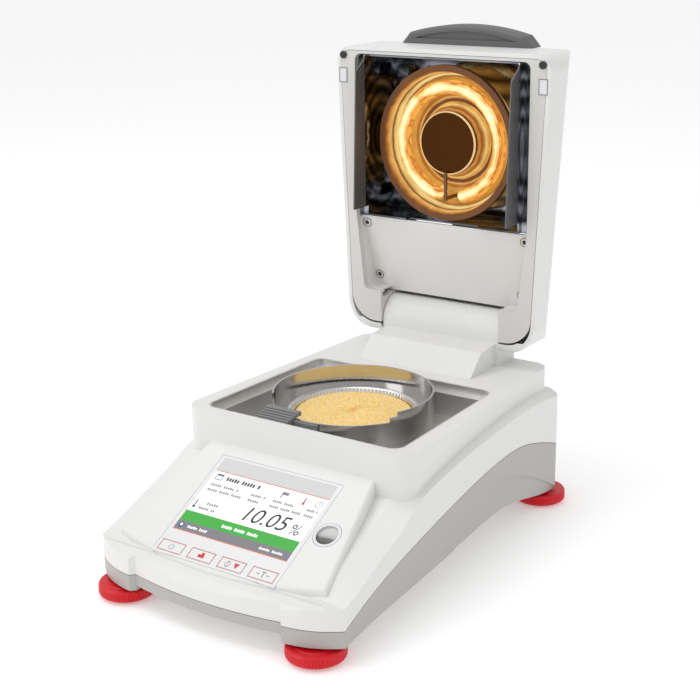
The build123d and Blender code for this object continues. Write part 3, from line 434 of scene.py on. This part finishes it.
points, faces = [spot(0, place["panY"], bed["top"])], []
for i in range(1, bed["rings"] + 1):
    share = i / bed["rings"]
    for k in range(bed["steps"]):
        angle = fullTurn * (k + 0.5 * (i % 2)) / bed["steps"]
        jitter = dice.uniform(-bed["rough"], bed["rough"])
        height = bed["top"] + (bed["edge"] - bed["top"]) * share ** 3 + jitter
        if i == bed["rings"]:
            height = bed["edge"] - bed["rimDrop"]
        points.append(panSpot(bed["radius"] * share, angle, height))
for k in range(bed["steps"]):
    faces.append((0, 1 + k, 1 + (k + 1) % bed["steps"]))
for i in range(bed["rings"] - 1):
    for k in range(bed["steps"]):
        a, b = 1 + i * bed["steps"] + k, 1 + i * bed["steps"] + (k + 1) % bed["steps"]
        faces.append((a, a + bed["steps"], b + bed["steps"], b))
lastRing, skirtStart = 1 + (bed["rings"] - 1) * bed["steps"], len(points)
for k in range(bed["steps"]):
    after = (k + 1) % bed["steps"]
    points.append(panSpot(bed["skirt"], fullTurn * k / bed["steps"], bed["base"]))
    faces.append((lastRing + k, skirtStart + k, skirtStart + after, lastRing + after))
for _ in range(bed["grains"]):
    reach, angle = bed["radius"] * math.sqrt(dice.random()) * bed["scatter"], dice.uniform(0, fullTurn)
    size = dice.uniform(bed["small"], bed["large"])
    height = bed["top"] - bed["sink"] + dice.uniform(-bed["lift"], bed["lift"])
    height = min(height, bed["topGrain"] - size * 0.6)
    height -= (bed["top"] - bed["edge"]) * (reach / bed["radius"]) ** 3
    mid = Vector((reach * math.cos(angle), place["panY"] + reach * math.sin(angle), height))
    start = len(points)
    spin = Matrix.Rotation(dice.uniform(0, 3), 3, "Z") @ Matrix.Rotation(dice.uniform(0, 1.2), 3, "X")
    for corner in ((1, 0, 0), (0, 0.8, 0), (-1, 0, 0), (0, -0.8, 0), (0, 0, 0.6), (0, 0, -0.6)):
        p = mid + spin @ Vector(corner) * size
        points.append(spot(p.x, p.y, min(p.z, bed["ceiling"])))
    for k in range(4):
        faces.append((start + k, start + (k + 1) % 4, start + 4))
        faces.append((start + (k + 1) % 4, start + k, start + 5))
piece = addMesh("sampleBed", points, faces, grain, "handler", False)
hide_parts("sample")
print("sample grained")

# Panel print
inks = {
    "black": flatInk("inkBlack", (0.012, 0.012, 0.014)),
    "grey": flatInk("inkGrey", (0.20, 0.20, 0.22), glow=0.03),
    "green": flatInk("inkGreen", (0.032, 0.42, 0.032), glow=0.03),
    "red": flatInk("inkRed", (0.62, 0.035, 0.03)),
    "amber": flatInk("inkAmber", (0.80, 0.15, 0.06)),
    "white": flatInk("inkWhite", (0.86, 0.87, 0.88), glow=0.3),
    "blue": flatInk("inkBlue", (0.03, 0.10, 0.24)),
    "pale": flatInk("inkPale", (0.66, 0.66, 0.665)),
    "soft": flatInk("inkSoft", (0.24, 0.24, 0.26)),
}


def printed(name, shapes, ink, out, body="machine"):
    points, faces = [], []
    for shape in shapes:
        start = len(points)
        points += [panelSpot(px, up, out) for px, up in shape]
        faces.append(tuple(range(start, len(points))))
    return addMesh(name, points, faces, inks[ink], body)


def bar(x0, x1, low, high):
    return [(x0, low), (x1, low), (x1, high), (x0, high)]


def frameBars(x0, x1, low, high, line):
    return [bar(x0, x1, low, low + line), bar(x0, x1, high - line, high),
            bar(x0, x0 + line, low + line, high - line), bar(x1 - line, x1, low + line, high - line)]


def arcBars(cx, cy, radius, line, start, end, steps=20):
    shapes = []
    for k in range(steps):
        a, b = (start + (end - start) * (k + d) / steps for d in (0, 1))
        shapes.append([(cx + r * math.cos(t), cy + r * math.sin(t))
                       for r, t in ((radius, a), (radius, b), (radius - line, b), (radius - line, a))])
    return shapes


letter = {"fill": 0.72, "short": 0.35, "space": 6}


def wordBars(x0, x1, low, high, letters):  # words as short bars, every third one taller
    width, gap = (x1 - x0) / letters, letter["space"]
    return [bar(x0 + k * width, x0 + (k + letter["fill"]) * width, low,
                high - (letter["short"] if k % 3 else 0.0))
            for k in range(letters) if k % gap != gap - 1]


def dot(cx, cy, radius, step=0.5, count=13):
    return [(cx + radius * math.cos(t * step), cy + radius * math.sin(t * step)) for t in range(count)]


glass = -0.07  # the display's face, under the panel's film
printed("greyBar", [bar(-45.7, 45.7, 0.9, 7.9)], "grey", glass)
printed("greenBar", [bar(-45.7, 45.7, 7.9, 16.4)], "green", glass)
printed("screenLines", [bar(-45.8, 45.8, 0.25, 0.85), bar(-45.8, 45.8, 51.6, 52.2)], "amber", glass)
printed("barWords", wordBars(-13.0, 16.0, 10.6, 13.0, 17) + wordBars(-36.0, -20.0, 3.4, 5.4, 10)
        + wordBars(22.0, 42.0, 3.4, 5.2, 12), "white", glass + 0.02)
printed("barDot", [dot(-41.5, 4.5, 2.2)], "blue", glass + 0.02)
printed("barDotCore", [dot(-41.5, 4.8, 1.1)], "white", glass + 0.03)
printed("titleIcon", frameBars(-42.5, -37.0, 44.6, 49.6, 0.6) + [bar(-42.5, -37.0, 48.2, 49.6)],
        "blue", glass)
printed("titleWords", wordBars(-33.5, -5.5, 45.6, 48.8, 13), "black", glass)
printed("smallWords", wordBars(-42.0, -19.0, 39.3, 41.4, 13) + wordBars(-42.0, -14.0, 34.9, 37.0, 17)
        + wordBars(-8.5, 3.0, 39.3, 41.4, 7) + wordBars(-8.5, 0.5, 34.9, 37.0, 5)
        + wordBars(9.0, 27.0, 39.3, 41.4, 12) + wordBars(9.0, 34.0, 34.9, 37.0, 17)
        + wordBars(35.8, 44.2, 39.3, 41.4, 7) + wordBars(36.0, 44.8, 34.9, 37.0, 6)
        + wordBars(-34.5, -25.0, 23.8, 25.9, 5) + wordBars(-38.5, -25.0, 19.4, 21.5, 8), "soft", glass)
printed("screenIcons", [bar(12.0, 17.0, 46.6, 49.0), bar(12.0, 12.9, 43.6, 49.0), bar(29.8, 30.9, 43.6, 48.8)]
        + arcBars(41.5, 46.2, 2.7, 0.5, 0, fullTurn) + [bar(41.2, 41.7, 46.0, 48.0)], "soft", glass)
printed("redIcon", [[(29.0, 43.2), (31.8, 43.2), (30.4, 46.4)]], "red", glass + 0.01)
printed("meterIcon", [bar(-43.2, -42.3, 21.0, 26.2), dot(-42.75, 20.4, 1.1, 0.7, 9)], "black", glass)
printed("topBand", [bar(-45.9, 45.9, 52.6, 63.2)], "pale", 0.03)


def figures(name, word, size, px, up, ink, lean=0.22):
    curve = bpy.data.curves.new(name, "FONT")
    curve.body, curve.size, curve.shear = word, size, lean
    carrier = bpy.data.objects.new(name + "Curve", curve)
    bpy.context.scene.collection.objects.link(carrier)
    bpy.context.view_layer.update()
    flat = carrier.evaluated_get(bpy.context.evaluated_depsgraph_get()).to_mesh()
    points = [panelSpot(px + v.co.x, up + v.co.y, glass + 0.02) for v in flat.vertices]
    faces = [tuple(face.vertices) for face in flat.polygons]
    bpy.data.objects.remove(carrier)
    return addMesh(name, points, faces, inks[ink], "machine")


figures("bigDigits", "10.05", 16.5, -6.5, 20.2, "black")
figures("unitMark", "%", 11.5, 33.2, 19.8, "black", 0.1)
print("panel printed")

# Key prints
keys = {"words": ("power", "print", "start", "tare"), "pitch": 24.4, "middle": -13.1, "half": 9.4,
        "rise": 3.9, "line": 0.34, "out": 0.03, "ring": 2.1, "ringLine": 0.4}


def keyPrint(key, name, shapes, ink):
    printed(name, shapes, ink, keys["out"], key + "_key_body")


def arrow(mid, up, sign):  # a head and its tail beside the middle
    foot, end = mid + sign * 3.6, mid + sign * 5.4
    head = [(mid + sign * 2.4, up), (foot, up - sign * 0.8), (foot, up + sign * 0.8)]
    return [head, bar(min(foot, end), max(foot, end), up - 0.2, up + 0.2)]


for k, key in enumerate(keys["words"]):
    mid, up, half, rise = (k - 1.5) * keys["pitch"], keys["middle"], keys["half"], keys["rise"]
    outline = frameBars(mid - half, mid + half, up - rise, up + rise, keys["line"])
    keyPrint(key, key + "Outline", outline, "red")
    if key == "power":
        arc = arcBars(mid, up, keys["ring"], keys["ringLine"], math.radians(125), math.radians(415))
        keyPrint(key, "powerIcon", arc + [bar(mid - 0.2, mid + 0.2, up + 0.3, up + 2.5)], "soft")
    elif key == "print":
        sheets = [bar(mid - 2.4, mid + 2.4, up - 1.6, up + 0.8),
                  bar(mid - 0.4, mid + 1.9, up + 0.8, up + 2.4)]
        keyPrint(key, "printIcon", sheets, "red")
    elif key == "start":
        arc = arcBars(mid - 3.2, up, keys["ring"], keys["ringLine"], 0, fullTurn)
        keyPrint(key, "startIcon", arc + [bar(mid - 3.4, mid - 3.0, up - 2.8, up + 2.8)], "soft")
        stop = [(mid + 1.2, up + 2.0), (mid + 5.6, up + 2.0), (mid + 3.4, up - 2.2)]
        keyPrint(key, "stopIcon", [stop], "red")
    else:
        post = [bar(mid - 0.35, mid + 0.35, up - 2.2, up + 2.0),
                bar(mid - 1.7, mid + 1.7, up + 1.6, up + 2.2)]
        keyPrint(key, "tareIcon", post + arrow(mid, up, -1) + arrow(mid, up, 1), "soft")
print("keys printed")

# Rings and sockets of the four screws in the lid's pale sheet, flat dark marks of painted shade in the
# sockets and round the heads
trim = {"frontY": 71.8, "frontZ": 112.4, "rearY": 132.2, "rearZ": 124.4, "lift": 1.24, "head": 3.5,
        "ring": 0.45, "socket": 1.9, "spots": ((67.4, 5.4), (61.6, 48.0))}
lean = math.atan2(trim["rearZ"] - trim["frontZ"], trim["rearY"] - trim["frontY"])
# flat near-black colour standing for the shade in the screw sockets and round their heads
paintedScrewShade = flatInk("recess", (0.03, 0.03, 0.032))


def lidRing(x, y, z, tilt, radius, sides):
    angles = [fullTurn * k / sides for k in range(sides)]
    return [lidSpot(x + radius * math.cos(t), y + radius * math.sin(t) * math.cos(tilt),
                    z + radius * math.sin(t) * math.sin(tilt)) for t in angles]


def lidDisc(name, at, tilt, radius, shade, sides, inner=0.0):
    outerRing = lidRing(*at, tilt, radius, sides)
    if not inner:
        return addMesh(name, outerRing, [tuple(range(sides))], shade, "lid")
    faces = [(k, (k + 1) % sides, sides + (k + 1) % sides, sides + k) for k in range(sides)]
    return addMesh(name, outerRing + lidRing(*at, tilt, inner, sides), faces, shade, "lid")


for count, (sx, up) in enumerate(trim["spots"]):
    sy = trim["frontY"] + up * math.cos(lean) + trim["lift"] * math.sin(lean)
    sz = trim["frontZ"] + up * math.sin(lean) - trim["lift"] * math.cos(lean)
    for sign in (-1, 1):
        tag, at = str(count) + ("Left" if sign < 0 else "Right"), (sign * sx, sy, sz)
        lidDisc("screwRing" + tag, at, lean, trim["head"], paintedScrewShade, 28, trim["head"] - trim["ring"])
        lidDisc("screwSocket" + tag, at, lean, trim["socket"], paintedScrewShade, 6)

# Frames round the latch windows
latch = {"x": 82.6, "y": -33.9, "half": 3.5, "rise": 5.5, "line": 0.7, "z": 105.05}
corners = [(latch["half"], latch["rise"]), (latch["half"] - latch["line"], latch["rise"] - latch["line"])]
for sign in (-1, 1):
    points = [lidSpot(sign * latch["x"] + sx * w, latch["y"] + sy * h, latch["z"]) for w, h in corners
              for sx, sy in ((-1, -1), (1, -1), (1, 1), (-1, 1))]
    faces = [(k, (k + 1) % 4, 4 + (k + 1) % 4, 4 + k) for k in range(4)]
    addMesh("latchFrame" + ("Left" if sign < 0 else "Right"), points, faces, inks["soft"], "lid")
print("lid trim made")

# Floor, light and camera
stage = {"half": 30, "colour": (0.86, 0.86, 0.86), "rough": 0.7, "low": (0.99, 0.99, 0.99),
         "high": (1.0, 1.0, 1.0), "glow": 0.30, "aim": (0, 0, 0.12), "sky": 0.72}
floorShade = Shade("floor", stage["colour"], stage["rough"])
cloud = floorShade.noise(3.0)
floorShade.tint(cloud, 0.01).glow(floorShade.mix(cloud, stage["low"], stage["high"]), stage["glow"])
half = stage["half"]
data = bpy.data.meshes.new("floor")
data.from_pydata([(-half, -half, 0), (half, -half, 0), (half, half, 0), (-half, half, 0)], [], [(0, 1, 2, 3)])
data.materials.append(floorShade.material)
floor = bpy.data.objects.new("floor", data)
bpy.context.scene.collection.objects.link(floor)

lights = {"over": {"at": (-0.5, -0.2, 1.7), "size": 1.2, "power": 9.0},
          "front": {"at": (-0.9, -1.5, 1.0), "size": 0.9, "power": 4.0}}
for name, values in lights.items():
    light = bpy.data.lights.new(name, "AREA")
    light.shape, light.size, light.energy = "SQUARE", values["size"], values["power"]
    holder = bpy.data.objects.new(name, light)
    bpy.context.scene.collection.objects.link(holder)
    holder.location = values["at"]
    facing = Vector(stage["aim"]) - Vector(values["at"])
    holder.rotation_euler = facing.to_track_quat("-Z", "Y").to_euler()

world = bpy.data.worlds.new("studio")
bpy.context.scene.world = world
world.use_nodes = True
sky = world.node_tree.nodes["Background"]
sky.inputs["Color"].default_value = (1, 1, 1, 1)
sky.inputs["Strength"].default_value = stage["sky"]
bpy.context.scene.view_settings.view_transform = "Standard"

view = {"at": (0.52031, -0.76039, 0.42590), "right": (0.82396, 0.56647, -0.01421),
        "up": (-0.15823, 0.25409, 0.95415), "back": (0.54411, -0.78393, 0.29899), "lens": 72.08, "sensor": 36}
lens = bpy.data.cameras.new("photoCamera")
lens.lens, lens.sensor_width = view["lens"], view["sensor"]
camera = bpy.data.objects.new("photoCamera", lens)
bpy.context.scene.collection.objects.link(camera)
turned = Matrix((view["right"], view["up"], view["back"])).transposed().to_4x4()
camera.matrix_world = Matrix.Translation(view["at"]) @ turned
bpy.context.scene.camera = camera
print("stage set")
